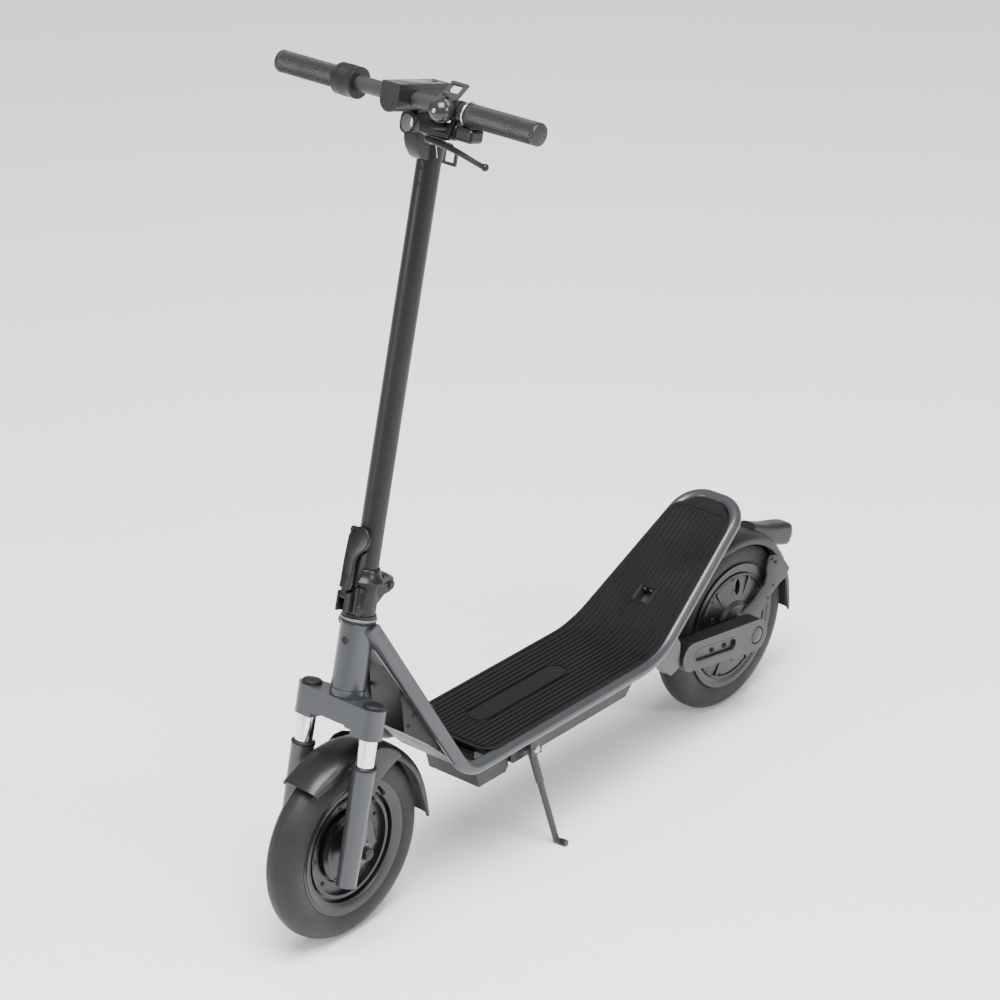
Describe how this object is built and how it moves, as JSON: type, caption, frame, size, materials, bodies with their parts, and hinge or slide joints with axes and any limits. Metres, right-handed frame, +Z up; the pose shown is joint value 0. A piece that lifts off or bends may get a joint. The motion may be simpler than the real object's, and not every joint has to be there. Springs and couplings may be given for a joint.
{
  "type": "electric kick scooter",
  "caption": "Folding electric kick scooter: tubular loop frame with ribbed deck, sprung fork, hub motor, tall stem, handlebar controls and side stand.",
  "frame": {"origin": "on the ground, under the middle of the outer box", "axes": "+X forward, +Y to the rider's left, +Z up"},
  "size_m": [1.2121, 0.463, 1.2553],
  "materials": {
    "tyre": "smooth rubber",
    "cast_black": "cast, black coat",
    "deck_black": "black anodised sheet",
    "bright": "brushed",
    "steel": "plain",
    "frame_grey": "metallic satin paint",
    "black_paint": "satin powder coat",
    "alloy_black": "black anodised",
    "alloy_grey": "bead blasted",
    "mat": "ribbed rubber",
    "plastic": "fine grained",
    "plastic_grey": "fine grained",
    "gloss_black": "gloss",
    "gloss_grey": "gloss",
    "chrome": "polished",
    "clear": "clear moulded",
    "red": "clear red",
    "grip": "knurled rubber",
    "cells": "shrink wrap"
  },
  "bodies": {
    "chassis": {"main_frame": "frame_grey", "deck_plate": "deck_black", "deck_mat": "mat", "catch_pocket": "black_paint", "battery_box": "plastic_grey", "battery_pack": "cells", "controller_box": "plastic_grey", "controller": "alloy_grey", "neck_shroud": "plastic", "stand_bracket": "black_paint", "rear_dropouts": "alloy_grey", "arm_covers": "plastic_grey", "rear_fender": "plastic", "fender_stays": "black_paint", "tail_light_housing": "plastic", "tail_light_lens": "red", "rear_axle": "bright", "motor_stator": "steel", "headset_bearings": "bright"},
    "rear_wheel": {"rear_tyre": "tyre", "motor_shell": "cast_black", "motor_covers": "cast_black", "rear_bearings": "bright"},
    "stand": {"kickstand": "black_paint"},
    "steering": {"crown": "frame_grey", "stanchions": "chrome", "fork_springs": "bright", "steerer": "bright", "headset_cups": "alloy_black", "fold_base": "alloy_black", "fold_pin": "bright"},
    "fork_lowers": {"fork_leg_left": "frame_grey", "fork_leg_right": "frame_grey", "fork_dropouts": "frame_grey", "front_axle": "bright", "front_fender": "plastic", "brake_plate": "cast_black"},
    "front_wheel": {"front_tyre": "tyre", "front_rim": "cast_black", "front_bearings": "bright"},
    "stem": {"fold_head": "alloy_black", "stem_tube": "black_paint", "neck_clamp": "alloy_black", "fold_hook": "bright", "handlebar": "black_paint", "grips": "grip", "display_pod": "plastic", "display_cover": "gloss_grey", "headlight_lens": "clear", "bag_hook": "black_paint", "brake_perch": "alloy_black", "bell": "gloss_black", "switch_pod": "plastic"},
    "lever": {"fold_lever": "alloy_black"},
    "latch": {"safety_latch": "gloss_black"},
    "brake": {"brake_lever": "alloy_black"},
    "throttle": {"throttle_collar": "plastic"},
    "striker": {"bell_striker": "gloss_black"},
    "lamp_switch": {"switch_button": "gloss_grey"},
    "power": {"power_button": "gloss_black"}
  },
  "joints": [
    {"name": "steering_turn", "type": "hinge", "parent": "chassis", "child": "steering", "pos_m": [0.42741, 0, 0.43617], "axis": [-0.246, 0, 0.9693], "range_deg": [-45, 45]},
    {"name": "fork_travel", "type": "slide", "parent": "steering", "child": "fork_lowers", "axis": [-0.246, 0, 0.9693], "range_m": [0, 0.015], "stiffness_N_per_m": 9000, "springref_m": -0.014},
    {"name": "front_wheel_spin", "type": "hinge", "parent": "fork_lowers", "child": "front_wheel", "pos_m": [0.461, 0, 0.145], "axis": [0, 1, 0], "continuous": true},
    {"name": "rear_wheel_spin", "type": "hinge", "parent": "chassis", "child": "rear_wheel", "pos_m": [-0.429, 0, 0.145], "axis": [0, 1, 0], "continuous": true},
    {"name": "stem_fold", "type": "hinge", "parent": "steering", "child": "stem", "pos_m": [0.36161, 0, 0.52471], "axis": [0, -1, 0], "range_deg": [0, 90]},
    {"name": "fold_lever_swing", "type": "hinge", "parent": "steering", "child": "lever", "pos_m": [0.44233, 0, 0.53591], "axis": [0, 1, 0], "range_deg": [0, 95]},
    {"name": "safety_latch_press", "type": "slide", "parent": "lever", "child": "latch", "axis": [-0.8905, 0, -0.455], "range_m": [0, 0.002], "stiffness_N_per_m": 600, "springref_m": -0.001},
    {"name": "brake_pull", "type": "hinge", "parent": "stem", "child": "brake", "pos_m": [0.3156, 0.062, 1.1857], "axis": [-0.246, 0, 0.9693], "range_deg": [0, 22], "stiffness_Nm_per_rad": 1.2, "springref_deg": -8.59},
    {"name": "throttle_twist", "type": "hinge", "parent": "stem", "child": "throttle", "pos_m": [0.29477, -0.103, 1.22632], "axis": [0, 1, 0], "range_deg": [0, 40], "stiffness_Nm_per_rad": 0.25, "springref_deg": -17.19},
    {"name": "bell_flick", "type": "hinge", "parent": "stem", "child": "striker", "pos_m": [0.30931, 0.08, 1.23001], "axis": [0.9693, 0, 0.246], "range_deg": [0, 25], "stiffness_Nm_per_rad": 0.06, "springref_deg": -17.19},
    {"name": "lamp_switch_press", "type": "slide", "parent": "stem", "child": "lamp_switch", "axis": [0.9693, 0, 0.246], "range_m": [0, 0.0012], "stiffness_N_per_m": 800, "springref_m": -0.001},
    {"name": "power_button_press", "type": "slide", "parent": "stem", "child": "power", "axis": [0.246, 0, -0.9693], "range_m": [0, 0.0007], "stiffness_N_per_m": 800, "springref_m": -0.001},
    {"name": "kickstand_swing", "type": "hinge", "parent": "chassis", "child": "stand", "pos_m": [0.12, 0.0668, 0.178], "axis": [0, 1, 0], "range_deg": [0, 80]}
  ]
}
